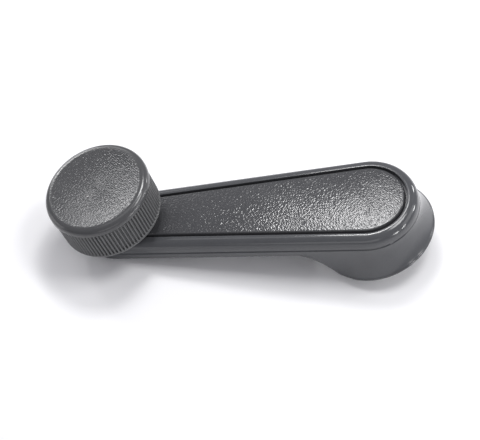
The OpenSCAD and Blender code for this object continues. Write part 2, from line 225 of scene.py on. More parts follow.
def closed_sheet(points, close_rows=False, close_columns=True):
    """A closed grid surface as (points, quads, triangles): points that coincide at seams and poles
    become one, quads that lose a corner become triangles, and a negative volume turns them over."""
    quads = grid_faces(points.shape[0], points.shape[1], close_rows, close_columns)
    flat, weld = points.reshape(-1, 3), 2e-8
    _, first, inverse = np.unique(np.round(flat / weld).astype(np.int64), axis=0,
                                  return_index=True, return_inverse=True)
    flat, quads = flat[first], inverse.reshape(-1)[quads]
    same = quads == np.roll(quads, -1, axis=1)
    crossed = (quads[:, 0] == quads[:, 2]) | (quads[:, 1] == quads[:, 3])
    lost = same.sum(axis=1)
    whole = quads[(lost == 0) & ~crossed]
    cut, where = quads[(lost == 1) & ~crossed], same[(lost == 1) & ~crossed].argmax(axis=1)
    triangles = cut[np.arange(len(cut))[:, None], (where[:, None] + np.array([1, 2, 3])) % 4]
    a, b, c, d = (flat[whole[:, k]] for k in range(4))
    volume = (a * np.cross(b, c)).sum() + (a * np.cross(c, d)).sum()
    a, b, c = (flat[triangles[:, k]] for k in range(3))
    if volume + (a * np.cross(b, c)).sum() < 0:
        whole, triangles = whole[:, ::-1], triangles[:, ::-1]
    return flat, whole, triangles


def placed(name, data):
    """A new object in the scene."""
    thing = bpy.data.objects.new(name, data)
    bpy.context.scene.collection.objects.link(thing)
    return thing


def make_piece(name, sheets, body, node, material, sharp=30):
    """One mesh object from closed sheets, riding on a body and standing for a solid."""
    points, faces, start = [], [], 0
    for flat, whole, triangles in sheets:
        points.append(flat)
        faces += (whole + start).tolist() + (triangles + start).tolist()
        start += len(flat)
    points = np.concatenate(points)
    if not np.isfinite(points).all():
        raise ValueError(name + " has a point that isn't a number")
    mesh = bpy.data.meshes.new(name)
    mesh.from_pydata(points, [], faces)
    mesh.polygons.foreach_set("use_smooth", np.ones(len(faces), bool))
    mesh.set_sharp_from_angle(angle=math.radians(sharp))
    mesh.materials.append(material)
    mesh.update()
    piece = placed(name, mesh)
    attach(piece, body)
    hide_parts(node)


def bar(sections):
    """A solid through closed sections, shape (sections, points, 3), each end closed to its middle."""
    ends = [np.repeat(s.mean(axis=0)[None, :], s.shape[0], axis=0) for s in (sections[0], sections[-1])]
    return closed_sheet(np.concatenate([ends[0][None], sections, ends[1][None]]))


def block(low, high, place=lambda points: points):
    """A box between two corners, carried to its place."""
    (x0, y0, z0), (x1, y1, z1) = low, high
    ring = np.array([[y0, z0], [y1, z0], [y1, z1], [y0, z1]])
    sections = np.stack([np.column_stack([np.full(4, x), ring]) for x in (x0, x1)])
    return bar(place(sections))


def full_turn(steps):
    """Even angles once round."""
    return np.linspace(0, 2 * math.pi, steps, endpoint=False)


def about_axis(r, turn, z, centre=(0, 0)):
    """Points at those radii, angles and heights about an upright axis."""
    return np.stack(np.broadcast_arrays(centre[0] + r * np.cos(turn), centre[1] + r * np.sin(turn), z), -1)


def revolve(profile, columns, centre=(0, 0), closed=False):
    """A profile of (radius, height) points turned once round an upright axis."""
    r, z = np.asarray(profile, float).T[:, :, None]
    return closed_sheet(about_axis(r, full_turn(columns), z, centre), close_rows=closed)


def smooth(x):
    """0 below 0, 1 above 1, and an even S between."""
    x = np.clip(x, 0, 1)
    return x * x * (3 - 2 * x)


def jitter(i, j, seed):
    """A fixed pseudo-random number from 0 to 1 for each cell of a grid."""
    v = np.sin(i * 127.1 + j * 311.7 + seed * 74.7) * 43758.5453
    return v - np.floor(v)


def pebbles(x, y, cell, seed):
    """Leather grain: a grid laid askew has one centre at a jittered place in every cell, and each
    centre carries a dome that falls by the square of the distance, so domes meet in creases."""
    margin, play, dome_r = 0.2, 0.6, 0.8
    u, v = (0.72 * x + 0.62 * y) / cell, (0.77 * y - 0.73 * x) / cell
    gu, gv = np.floor(u), np.floor(v)
    near = np.full(x.shape, 9.0)
    for i in (-1, 0, 1):
        for j in (-1, 0, 1):
            cu, cv = gu + i, gv + j
            near = np.minimum(near, np.hypot(u - cu - margin - play * jitter(cu, cv, seed),
                                             v - cv - margin - play * jitter(cu, cv, seed + 5)))
    return 1 - np.minimum(near / dome_r, 1) ** 2


def leather(x, y, pebble, fine_share, coarse, seed):
    """Two sizes of pebbles laid over each other; coarse says how much larger the second ones are."""
    return (pebbles(x, y, pebble, seed) * fine_share
            + (1 - fine_share) * pebbles(x, y, pebble * coarse, seed + 6))


# ---- The arm's shape ----


def setting_names(group):
    """The names of a group's own settings."""
    return [k for k in group.bl_rna.properties.keys() if k not in ("rna_type", "name")]


def arm_sizes():
    """The arm's settings with what follows from them: its lean, its taper and its outline's size."""
    p = bpy.context.scene.crank_arm
    s = SimpleNamespace(**{k: getattr(p, k) for k in setting_names(p)})
    s.lean = math.atan(s.arm_rise / s.throw)
    s.arm_len = s.throw / math.cos(s.lean)
    s.span = s.arm_len + s.hub_shift
    s.taper = math.asin((s.hub_mouth_r - s.tip_mouth_r) / s.span)
    s.rim_w = s.land_w + s.roll_r
    s.crease_z = s.roll_r + s.side_h
    s.rim_h = s.crease_z + s.band_h
    s.floor_z = s.tray_depth + s.floor_t
    s.first_rib, s.last_rib = s.boss_r + 24 * MM, s.arm_len - s.seat_r - 12 * MM
    return s


def leaned(s, points):
    """Points of the arm's own frame, with the rim plane at height 0, carried to the solids' frame."""
    x, y, z = np.moveaxis(np.asarray(points, float), -1, 0)
    c, n = math.cos(s.lean), math.sin(s.lean)
    return np.stack([x * c + z * n, y, s.hub_height - x * n + z * c], -1)


def flank_y(s, x, off):
    """How far out the straight flank stands at x of the arm's frame, off outside the mouth."""
    return (s.hub_mouth_r + off - (s.hub_shift - x) * math.sin(s.taper)) / math.cos(s.taper)


def tapered_outline(s, hub=48, near=64, far=64, tip=26, ease=1.0):
    """The mouth's outline as centres, radii and outward directions, one for each column.
    Round the ends the centre stands still and the direction turns; along a flank the direction
    stands still while the centre and radius run from the hub's to the tip's. Half is worked out
    from the hub's front to the tip's back, and the other half is its mirror image. An ease over 1
    sets the far columns closer together towards the hub."""
    quarter = math.pi / 2 + s.taper
    sine = math.sin(s.taper)
    sweep = (s.hub_shift - (s.hub_mouth_r + s.rim_w) * sine + s.sweep_arm) \
        / (s.span - (s.hub_mouth_r - s.tip_mouth_r) * sine)
    run = np.concatenate([np.zeros(hub + 1), np.linspace(0, sweep, near + 1)[1:],
                          sweep + (1 - sweep) * np.linspace(0, 1, far + 1)[1:] ** ease, np.ones(tip)])
    turn = np.concatenate([np.linspace(0, quarter, hub + 1), np.full(near + far, quarter),
                           np.linspace(quarter, math.pi, tip + 1)[1:]])

    def both(half, sign=1):
        return np.concatenate([half, sign * half[-2:0:-1]])

    return SimpleNamespace(half=len(run), foot=hub + near, cx=both(s.hub_shift - run * s.span),
                           rad=both(s.hub_mouth_r - run * (s.hub_mouth_r - s.tip_mouth_r)),
                           nx=both(np.cos(turn)), ny=both(np.sin(turn), -1))


def ring_at(o, off, height, share=1.0):
    """The outline grown by off, or that share of the way out from the arm's middle line."""
    r = share * (o.rad + off)
    return np.stack([o.cx + r * o.nx, r * o.ny, np.broadcast_to(height, r.shape)], -1)


def lengths(vectors):
    """The length of each row's vector."""
    return np.linalg.norm(vectors, axis=1, keepdims=True)


def run_lengths(path):
    """How far along a path each of its points stands."""
    return np.concatenate([[0], np.cumsum(lengths(np.diff(path, axis=0)))])


def lower_edge(s, o, crease):
    """The lower edge of the outer wall, one point for each column, and the bead's strength there.
    It goes round the foot's circle, then up an S-shaped cubic curve on the flank to the arm's
    underside, matched to the crease above by length along each; further on it is the band's edge."""
    steps, even_steps, rounding = 80, 600, 6 * MM
    wall_r = s.foot_r - s.bead_out
    turn = np.linspace(0, math.acos(-s.sweep_foot / wall_r), steps)
    foot = about_axis(wall_r, turn, 0)
    top = s.hub_height + s.sweep_arm * math.tan(s.lean) - s.rim_h / math.cos(s.lean)
    pull = np.array([[-s.sweep_foot, 0], [-s.sweep_foot - 4 * MM, top * 0.45],
                     [-s.sweep_arm * 0.76, top * 0.85], [-s.sweep_arm, top]])
    t = np.linspace(0, 1, steps)[1:, None]
    x, z = ((1 - t) ** 3 * pull[0] + 3 * t * (1 - t) ** 2 * pull[1] + 3 * t * t * (1 - t) * pull[2]
            + t ** 3 * pull[3]).T
    y = flank_y(s, x * math.cos(s.lean) - (z - s.hub_height) * math.sin(s.lean), s.rim_w)
    y += (foot[-1, 1] - y[0]) * (1 - smooth(t[:, 0] * 1.3))
    path = np.concatenate([foot, np.column_stack([x, y, z])])
    rough_along = run_lengths(path)
    corner_at, along = rough_along[steps - 1], np.linspace(0, rough_along[-1], even_steps)
    path = np.column_stack([np.interp(along, rough_along, path[:, k]) for k in range(3)])

    # A moving average rounds the corner between the circle and the curve
    near_corner = np.abs(along - corner_at) < rounding
    kernel = np.hanning(int(rounding / along[1]) * 2 + 1)
    kernel /= kernel.sum()
    rounded = np.column_stack([np.convolve(path[:, k], kernel, mode="same") for k in range(3)])
    path[near_corner] = rounded[near_corner]

    over = run_lengths(crease[:o.foot + 1])
    share = over / over[-1]
    at_corner = np.abs(share - corner_at / along[-1]).argmin()
    reach = np.interp(share, [0, share[at_corner], 1], [0, corner_at, along[-1]])
    edge = leaned(s, ring_at(o, s.rim_w, -s.rim_h))
    edge[:o.foot + 1] = np.column_stack([np.interp(reach, along, path[:, k]) for k in range(3)])
    edge[o.half:] = edge[1:o.half - 1][::-1] * [1, -1, 1]
    bead_end, bead_fade = s.sweep_arm + 2 * MM, 5 * MM
    return edge, smooth((edge[:, 0] + bead_end) / bead_fade)


def arm_shell(s):
    """The arm's closed skin. Across each column of the outline a section runs from the middle of
    the tray's floor, up its wall, over the land and the roll, which is a quarter round drawn out
    downwards, into the crease, down a wall that bells out to the lower edge by a quadratic curve,
    over the bead, and back inside the wall to the middle of the underside."""
    o = tapered_outline(s)
    down = np.array([-math.sin(s.lean), 0, -math.cos(s.lean)])
    lip, soft, belly, drawn_out = 0.2 * MM, 0.12 * MM, 0.42, 0.8
    bend = np.radians([0, 30, 60, 90])
    arc = np.radians(np.linspace(10, 90, 19))
    upper = [(0, -s.tray_depth)] + [(lip - lip * math.cos(b), lip * math.sin(b) - lip) for b in bend]
    upper += [(s.land_w + s.roll_r * math.sin(a),
               s.roll_r * (math.cos(a) - math.cos(arc[0])) - drawn_out * s.side_h * (a / arc[-1]) ** 4)
              for a in arc]
    edge_z, deep = -s.crease_z + s.crease_d, s.rim_w - s.crease_d
    upper += [(s.rim_w, edge_z + 2 * soft), (s.rim_w - 0.3 * soft, edge_z + soft),
              (s.rim_w - soft, edge_z), (deep, -s.crease_z + 0.4 * soft),
              (deep, -s.crease_z - 0.4 * soft), (s.rim_w - soft, -s.crease_z - s.crease_d)]
    rows = [leaned(s, ring_at(o, 0, -s.tray_depth, k)) for k in (0, 0.35, 0.7)]
    rows += [leaned(s, ring_at(o, off, z)) for off, z in upper]

    crease = leaned(s, ring_at(o, s.rim_w, -s.crease_z - s.crease_d - soft))
    edge, bead = lower_edge(s, o, crease)
    drop = lengths(edge - crease)
    pull = crease + belly * drop * down

    def wall(v):
        return (1 - v) ** 2 * crease + 2 * v * (1 - v) * pull + v * v * edge

    # The bead stands out square to the wall's fall and to the edge's run
    along = np.roll(edge, -1, axis=0) - np.roll(edge, 1, axis=0)
    along /= lengths(along)
    fall = edge - wall(0.9)
    fall /= lengths(fall)
    out = np.cross(fall, along)
    slant = lengths(out)
    out /= slant
    radial = leaned(s, ring_at(o, s.rim_w, 0)) - leaned(s, ring_at(o, 0, 0))
    out *= np.sign((out * radial).sum(axis=1, keepdims=True))
    least_slant, most_share, bead_run = 0.45, 0.6, 1.45
    slant = np.maximum(slant, least_slant)
    h, w = s.bead_h, s.bead_out * bead[:, None]
    start = 1 - np.minimum(bead_run * h / (slant * drop), most_share)
    rows += [wall(start * v) for v in np.linspace(0, 1, 16)]
    for d, lift in ((1.28, 0.06), (1.14, 0.3), (1.04, 0.66), (0.92, 0.93), (0.78, 1), (0.3, 1),
                    (0.12, 0.9), (0.02, 0.65)):
        rows.append(wall(1 - np.minimum(d * h / (slant * drop), most_share)) + out * w * lift)
    rows.append(edge + out * w * 0.45)

    inward = out * [1, 1, 0]
    inward /= lengths(inward)
    thick = s.wall_t + (s.skirt_t - s.wall_t) * bead[:, None]
    inner_low = edge - inward * thick
    inner_top = leaned(s, ring_at(o, s.rim_w - s.wall_t, -s.floor_z))
    pull_in = inner_top + belly * lengths(inner_low - inner_top) * down
    rows += [v * v * inner_low + 2 * v * (1 - v) * pull_in + (1 - v) ** 2 * inner_top
             for v in np.linspace(1, 0, 9)]
    rows += [leaned(s, ring_at(o, s.rim_w - s.wall_t, -s.floor_z, k)) for k in (0.7, 0.35, 0)]
    return closed_sheet(np.stack(rows))


def skirt_radius(s, z):
    """Radius of the skirt's outside at a height over the foot, a little hollow towards the foot."""
    wall_r = s.foot_r - s.bead_out
    u = np.clip(z / (s.hub_height - s.crease_z), 0, 1)
    return wall_r - (wall_r - s.neck_r) * (1.15 * u - 0.15 * u * u)


def skirt_back(s):
    """The skirt's wall under the arm: a section with the bead, carried round the foot's circle
    between the two swept edges, its top following the arm's leaning floor."""
    overlap, sections = 0.03, 72
    wall_r = s.foot_r - s.bead_out
    corner = math.acos(-s.sweep_foot / wall_r) - overlap
    turn = np.linspace(corner, 2 * math.pi - corner, sections)
    top = s.hub_height + wall_r * 0.9 * math.tan(s.lean) * -np.cos(turn) - (s.floor_z - s.floor_t / 2)
    h, w = s.bead_h, s.bead_out
    share = np.linspace(1.3 * h / (18 * MM), 1, 9)
    outside = [(wall_r + w * 0.6, 0), (wall_r + w, 0.2 * h), (wall_r + w, 0.8 * h), (wall_r + w * 0.6, h),
               (wall_r - 0.1 * w, 1.25 * h)]
    rows = [(np.full(sections, r), np.full(sections, z)) for r, z in outside]
    rows += [(skirt_radius(s, top * u), top * u) for u in share]
    rows += [(skirt_radius(s, top * u) - s.skirt_t, top * u) for u in share[::-2]]
    rows += [(np.full(sections, wall_r - s.skirt_t), 0 * turn)]
    r, z = np.array(rows).transpose(1, 2, 0)
    return bar(about_axis(r, turn[:, None], z))


def tube(inner, outer, low, high, centre=(0, 0), bevel=0.25 * MM):
    """A tube with small bevels at its outer ends."""
    return revolve([(inner, low), (outer - bevel, low), (outer, low + bevel), (outer, high - bevel),
                    (outer - bevel, high), (inner, high)], 96, centre, closed=True)


def wedge(inner, outer, half_in, half_out, middle, low, high):
    """A piece of a ring whose cut sides are parallel: half angles differ inside and outside."""
    steps = 13
    t = np.linspace(-1, 1, steps)
    turn = np.concatenate([middle + t * half_in, middle + t[::-1] * half_out])
    r = np.repeat([inner, outer], steps)
    return bar(np.stack([about_axis(r, turn, z) for z in (low, high)]))


def turned(points, angle):
    """Points turned about the spindle axis."""
    c, n = math.cos(angle), math.sin(angle)
    x, y, z = np.moveaxis(points, -1, 0)
    return np.stack([x * c - y * n, x * n + y * c, z], -1)


def arm_underside(s):
    """What is moulded under the arm: cross ribs, a middle rib, spokes, the socket's boss with the
    clip's slots through it, the seat's boss and the skirt's back wall. Each is a closed solid."""
    t, sheets = s.rib_t, [skirt_back(s)]
    low, high = 1 * MM - s.rim_h, 0.6 * s.floor_t - s.floor_z
    for x in np.linspace(s.first_rib, s.last_rib, s.rib_count):
        y = flank_y(s, -x, s.rim_w - s.wall_t + 0.6 * MM)
        sheets.append(block((-x - t / 2, -y, low), (-x + t / 2, y, high), lambda q: leaned(s, q)))
    sheets.append(block((s.seat_r - 0.7 * MM - s.arm_len, -t / 2, low), (1 * MM - s.boss_r, t / 2, high),
                        lambda q: leaned(s, q)))
    spoke_top, spoke_end = 17.5 * MM, skirt_radius(s, 9 * MM) - 1 * MM
    for angle in np.radians([60, 120, 240, 300]):
        sheets.append(block((s.boss_r - 1 * MM, -t / 2, s.bead_h), (spoke_end, t / 2, spoke_top),
                            lambda q, angle=angle: turned(q, angle)))
    slot_low, slot_high, slot_in, slot_out = 6.05 * MM, 7.95 * MM, 4.35 * MM, 6.25 * MM
    socket_top, ceiling = 16.05 * MM, s.hub_height - s.floor_z + 0.4 * MM
    plug_r = s.socket_r + 0.1 * MM
    sheets += [tube(s.socket_r, s.boss_r, 0, slot_low, bevel=0.3 * MM),
               tube(s.socket_r, s.boss_r, slot_high, ceiling, bevel=0.01 * MM),
               revolve([(0, socket_top), (plug_r, socket_top), (plug_r, ceiling), (0, ceiling)], 64)]
    for half_turn, y, middles in ((math.asin, slot_in, (0, math.pi)),
                                  (math.acos, slot_out, (math.pi / 2, -math.pi / 2))):
        for middle in middles:
            sheets.append(wedge(s.socket_r, s.boss_r, half_turn(y / s.socket_r), half_turn(y / s.boss_r),
                                middle, slot_low, slot_high))
    pin_r, seat_low, seat_high = 3.01 * MM, 30.8 * MM, 40.4 * MM
    sheets.append(tube(pin_r, s.seat_r, seat_low, seat_high, (-s.throw, 0)))
    return sheets


def inlay_skin(s, i):
    """The inlay's closed skin on the tray's outline: a flat back, an upright edge, a border that
    rises by a rounded quarter, and a field whose leather grain lifts it by the pebbles' height."""
    o = tapered_outline(s, hub=112, near=146, far=290, tip=14, ease=1.25)
    fade, field_rows, roundness, grain_middle = 0.45 * MM, 69, 1.5, 0.7
    shoulder = i.proud - 0.5 * i.crown
    rise = shoulder + i.groove
    rows = [ring_at(o, -i.gap, -s.tray_depth, k) for k in (0, 0.5, 1)]
    rows += [ring_at(o, -i.gap, -i.groove - 0.2 * MM)]
    rows += [ring_at(o, -i.gap - i.border * (1 - math.cos(b) ** roundness),
                     -i.groove + rise * math.sin(b) ** roundness) for b in np.linspace(0, math.pi / 2, 13)]
    field = ring_at(o, -i.gap - i.border, shoulder)
    middle = ring_at(o, 0, shoulder, 0)
    for k in np.linspace(0, 1, field_rows + 1)[1:]:
        row = field + (middle - field) * k
        row[:, 2] += i.crown * (o.rad / s.hub_mouth_r) ** 2 * (1 - (1 - k) ** 2)
        depth = k * (o.rad - i.gap - i.border)
        grain = leather(row[:, 0], row[:, 1], i.pebble, fine_share=0.85, coarse=1.9, seed=3)
        row[:, 2] += (grain - grain_middle) * i.grain_h * smooth(depth / fade)
        rows.append(row)
    return closed_sheet(leaned(s, np.stack(rows)))


def inlay_pegs(s, i):
    """The four pegs that hold the inlay, through the tray's floor."""
    sheets, turn = [], full_turn(32)
    step = (s.last_rib - s.first_rib) / (s.rib_count - 1)
    for x in (s.first_rib - step / 2, s.last_rib - step / 2):
        y = s.hub_mouth_r - 7 * MM - (x + s.hub_shift) * math.tan(s.taper)
        for side in (-1, 1):
            rings = [about_axis(i.peg_r * k, turn, z, (-x, side * y))
                     for k, z in ((0.86, -s.floor_z - 1 * MM), (1, -s.floor_z - 0.8 * MM), (1, -1 * MM))]
            sheets.append(bar(leaned(s, np.stack(rings))))
    return sheets


# ---- The knob's shape ----


def knob_barrel(s, k):
    """The barrel as one closed ring: its section goes round the outside, the top, the inside wall,
    the floor and the bush's column. Round the outside, each flute is a dip whose depth is a raised
    cosine of the angle, kept flat on its crest and let out to nothing at both ends."""
    per_flute, crest_share, dip_share = 10, 0.22, 0.62
    columns = k.flute_count * per_flute
    turn = full_turn(columns)
    phase = (np.arange(columns) % per_flute) / per_flute
    dip = smooth((0.5 - 0.5 * np.cos(2 * math.pi * phase) - crest_share) / dip_share)
    low, high = k.base_z, k.base_z + k.barrel_h
    inner = k.barrel_r - 0.55 * MM - k.wall_t
    start, stop, run_in, run_out = low + k.ring_h, high - 0.1 * MM, 0.5 * MM, 0.9 * MM

    def outside(z):
        return k.barrel_r - k.taper * (high - z) / k.barrel_h

    r0 = outside(low) - 0.08 * MM
    ring = [(k.bush_flange_r, low, 0)]
    ring += [(r0 - back * MM, low + up * MM, 0)
             for back, up in ((0.6, 0), (0.25, 0.03), (0.07, 0.12), (0, 0.3))]
    ring += [(r0, start - 0.1 * MM, 0)]
    ring += [(outside(start + u * run_in), start + u * run_in, smooth(u))
             for u in (0, 0.25, 0.5, 0.75, 1)]
    ring += [(outside(z), z, 1) for z in np.linspace(start + run_in, stop - run_out, 12)[1:]]
    for u in (0.3, 0.55, 0.75, 0.9, 0.97, 1):
        left = math.sqrt(1 - u * u)
        ring.append((outside(stop) - k.flute_d * (1 - left), stop - (1 - u) * run_out, left))
    floor_top, flange_top = low + 2.4 * MM, low + 1.2 * MM
    column_r, column_top = k.bush_r + 2 * MM, low + 11.5 * MM
    ring += [(outside(high) - k.flute_d - 0.1 * MM, high, 0), (inner, high, 0), (inner, floor_top, 0),
             (column_r, floor_top, 0), (column_r, column_top, 0), (k.bush_r, column_top, 0),
             (k.bush_r, flange_top, 0), (k.bush_flange_r, flange_top, 0)]
    ring = np.array(ring)
    r = ring[:, :1] - k.flute_d * ring[:, 2:] * dip
    return closed_sheet(about_axis(r, turn, ring[:, 1:2], (-s.throw, 0)), close_rows=True)


def knob_cap(s, k):
    """The cap as a turned surface: a bowl, the lip's rounding, and the spigot and underside within.
    The bowl's depth is one less the radius's share of the crest's, raised to 2.6, all raised to
    1.2. The pebbled grain is cut into the bowl and fades out over the crest of the lip."""
    bowl_rows, lip_rows, grained_lip_rows, columns = 97, 18, 8, 640
    top, low = k.cap_z + 0.3 * MM + k.lip_r, k.cap_z
    crest = k.cap_r - k.lip_w
    upper_r = np.linspace(0, crest, bowl_rows)
    upper_z = top - k.dish_d * (1 - (upper_r / crest) ** 2.6) ** 1.2
    bend = np.linspace(0, math.pi / 2, lip_rows)[1:-1]
    edge = [(crest + k.lip_w * math.sin(b) ** 0.8, top - k.lip_r + k.lip_r * math.cos(b) ** 0.8)
            for b in bend]
    spigot, spigot_low, underside = k.barrel_r - 0.6 * MM - k.wall_t, low - 3 * MM, top - k.dish_d - 1.5 * MM
    shoulder, line, spigot_in = spigot + 1.2 * MM, low - 0.35 * MM, spigot - 1.4 * MM
    edge += [(k.cap_r, top - k.lip_r), (k.cap_r, low + 0.1 * MM), (k.cap_r - 0.05 * MM, low),
             (shoulder, low), (shoulder, line), (spigot, line), (spigot, spigot_low),
             (spigot_in, spigot_low), (spigot_in, underside), (0, underside)]
    turn = full_turn(columns)
    r = np.concatenate([upper_r, [e[0] for e in edge]])[:, None]
    z = np.concatenate([upper_z, [e[1] for e in edge]])[:, None]
    x, y = r * np.cos(turn), r * np.sin(turn)
    on_top = (np.arange(len(r)) < bowl_rows + grained_lip_rows)[:, None]
    field = smooth((crest + 1.4 * MM - r) / (2.2 * MM)) * on_top
    z = z + (leather(x, y, k.pebble, fine_share=0.75, coarse=1.8, seed=17) - 1) * k.grain_h * field
    return closed_sheet(about_axis(r, turn, z, (-s.throw, 0)))


# ---- Finishes ----

PLASTIC_IOR = 1.5


def finish_nodes(name):
    """A new material and its node tree, shader and object coordinates."""
    material = bpy.data.materials.new(name)
    material.use_nodes = True
    tree = material.node_tree
    shader = tree.nodes["Principled BSDF"]
    where = tree.nodes.new("ShaderNodeTexCoord").outputs["Object"]
    return material, tree, shader, where


def noise(tree, where, scale, detail=3.0):
    """A cloudy pattern from 0 to 1 on those coordinates."""
    node = tree.nodes.new("ShaderNodeTexNoise")
    node.inputs["Scale"].default_value, node.inputs["Detail"].default_value = scale, detail
    tree.links.new(where, node.inputs["Vector"])
    return node.outputs["Fac"]


def cells(tree, where, size):
    """How far each point stands from the crease between two cells of that size."""
    node = tree.nodes.new("ShaderNodeTexVoronoi")
    node.feature = "DISTANCE_TO_EDGE"
    node.inputs["Scale"].default_value = 1 / size
    tree.links.new(where, node.inputs["Vector"])
    return node.outputs["Distance"]


def ranged(tree, value, low, high, low_from=0.3, high_from=0.7):
    """The value spread between two levels."""
    node = tree.nodes.new("ShaderNodeMapRange")
    node.inputs["From Min"].default_value, node.inputs["From Max"].default_value = low_from, high_from
    node.inputs["To Min"].default_value, node.inputs["To Max"].default_value = low, high
    tree.links.new(value, node.inputs["Value"])
    return node.outputs["Result"]


def tinted(tree, factor, dark, light):
    """A colour between two, by the factor."""
    node = tree.nodes.new("ShaderNodeMix")
    node.data_type = "RGBA"
    node.inputs["A"].default_value = (*dark, 1)
    node.inputs["B"].default_value = (*light, 1)
    tree.links.new(factor, node.inputs["Factor"])
    return node.outputs["Result"]


def bumped(tree, height, distance, before=None):
    """Fine relief of the given height in metres, on top of any before it."""
    node = tree.nodes.new("ShaderNodeBump")
    node.inputs["Strength"].default_value = 1.0
    node.inputs["Distance"].default_value = distance
    tree.links.new(height, node.inputs["Height"])
    if before is not None:
        tree.links.new(before, node.inputs["Normal"])
    return node.outputs["Normal"]


def worked_out(tree, kind, operation, *values):
    """A sum on sockets and plain values."""
    node = tree.nodes.new(kind)
    node.operation = operation
    for socket, value in zip(node.inputs, values):
        if isinstance(value, bpy.types.NodeSocket):
            tree.links.new(value, socket)
        else:
            socket.default_value = value
    return node.outputs["Value"]


def shades(colour, dark, light):
    """A darker and a lighter shade of a colour, by two factors."""
    return [min(c * dark, 1) for c in colour], [min(c * light, 1) for c in colour]


def wire(tree, shader, colour, roughness, normal):
    """Links what was made to the shader's own sockets."""
    for name, value in (("Base Color", colour), ("Roughness", roughness), ("Normal", normal)):
        tree.links.new(value, shader.inputs[name])


def moulded_plastic(name, colour, rough, relief, scale):
    """Moulded plastic: slow cloudy and fine speckled changes of shade, a gloss that varies a
    little, and a faint ripple of the given height."""
    material, tree, shader, where = finish_nodes(name)
    cloud = noise(tree, where, scale=60)
    speck = noise(tree, where, scale=2600, detail=2.0)
    half = worked_out(tree, "ShaderNodeMath", "MULTIPLY", speck, 0.5)
    mixed = worked_out(tree, "ShaderNodeMath", "MULTIPLY_ADD", cloud, 0.5, half)
    ripple = noise(tree, where, scale, detail=2.0)
    wire(tree, shader, tinted(tree, ranged(tree, mixed, 0, 1, 0.35, 0.65), *shades(colour, 0.92, 1.08)),
         ranged(tree, cloud, rough - 0.03, rough + 0.04), bumped(tree, ripple, relief))
    shader.inputs["IOR"].default_value = PLASTIC_IOR
    return material


def grained_plastic(name, colour, rough, cell=0.5 * MM, relief=0.006 * MM):
    """Leather-grained plastic: small cells with rounded tops over the modelled pebbles, with painted shade
    that darkens their creases, and a gloss that varies a little."""
    material, tree, shader, where = finish_nodes(name)
    fine = noise(tree, where, scale=3200)
    cloud = noise(tree, where, scale=70)
    relief_and_crease_shade = ranged(tree, cells(tree, where, cell), 0, 1, 0.0, 0.45)
    # Painted shade: the colour goes darker towards the cells' creases; the same value also drives the real
    # bump of the cell tops
    wire(tree, shader, tinted(tree, relief_and_crease_shade, *shades(colour, 0.80, 1.06)),
         ranged(tree, cloud, rough + 0.03, rough - 0.03),
         bumped(tree, relief_and_crease_shade, relief, bumped(tree, fine, relief * 0.5)))
    shader.inputs["IOR"].default_value = PLASTIC_IOR
    return material


def metal(name, colour, rough, relief, stretch=(1, 1, 1)):
    """Bare or plated metal: mottled brightness, uneven gloss and fine marks, which may be drawn
    out along one direction."""
    material, tree, shader, where = finish_nodes(name)
    mapping = tree.nodes.new("ShaderNodeMapping")
    mapping.inputs["Scale"].default_value = stretch
    tree.links.new(where, mapping.inputs["Vector"])
    marks = noise(tree, mapping.outputs["Vector"], scale=1500, detail=4.0)
    cloud = noise(tree, where, scale=260)
    wire(tree, shader, tinted(tree, ranged(tree, cloud, 0, 1), *shades(colour, 0.82, 1.12)),
         ranged(tree, marks, rough - 0.07, rough + 0.08), bumped(tree, marks, relief))
    shader.inputs["Metallic"].default_value = 1.0
    return material


def bush_plastic(name):
    """Natural acetal: milky off-white that lets a little light in, with a waxy gloss."""
    material, tree, shader, where = finish_nodes(name)
    cloud = noise(tree, where, scale=180)
    wire(tree, shader, tinted(tree, ranged(tree, cloud, 0, 1), (0.66, 0.63, 0.54), (0.74, 0.72, 0.65)),
         ranged(tree, cloud, 0.36, 0.46), bumped(tree, cloud, 0.01 * MM))
    shader.inputs["Subsurface Weight"].default_value = 0.15
    shader.inputs["Subsurface Radius"].default_value = (1.2 * MM, 1 * MM, 0.8 * MM)
    return material


# ---- Operators ----


class CRANK_OT_arm(Operator):
    """Builds the arm's skin and what is moulded under it"""

    bl_idname = "crank.arm"
    bl_label = "Arm"

    def execute(self, context):
        s = arm_sizes()
        plastic = moulded_plastic("smooth_grey_moulding", s.colour, rough=0.14, relief=0.002 * MM, scale=420)
        make_piece("arm_shell", [arm_shell(s)], "arm", "arm_body", plastic, sharp=40)
        make_piece("arm_underside", arm_underside(s), "arm", "arm_body", plastic)
        return {"FINISHED"}


class CRANK_OT_inlay(Operator):
    """Builds the grained inlay with its pegs"""

    bl_idname = "crank.inlay"
    bl_label = "Inlay"

    def execute(self, context):
        s, i = arm_sizes(), context.scene.crank_inlay
        grained = grained_plastic("leather_grained_inlay", i.colour, rough=0.165)
        make_piece("inlay_grain", [inlay_skin(s, i)] + inlay_pegs(s, i), "arm", "inlay_panel",
                   grained, sharp=50)
        return {"FINISHED"}


class CRANK_OT_knob(Operator):
    """Builds the fluted barrel and the grained cap of the knob"""

    bl_idname = "crank.knob"
    bl_label = "Knob"

    def execute(self, context):
        s, k = arm_sizes(), context.scene.crank_knob
        satin = moulded_plastic("satin_fluted_barrel", k.barrel_colour, rough=0.42, relief=0.006 * MM,
                                scale=900)
        make_piece("knob_grip", [knob_barrel(s, k)], "knob", "knob_barrel", satin,
                   sharp=50)
        pebbled = grained_plastic("pebbled_cap", k.cap_colour, rough=0.18)
        make_piece("knob_top", [knob_cap(s, k)], "knob", "knob_cap", pebbled, sharp=50)
        return {"FINISHED"}


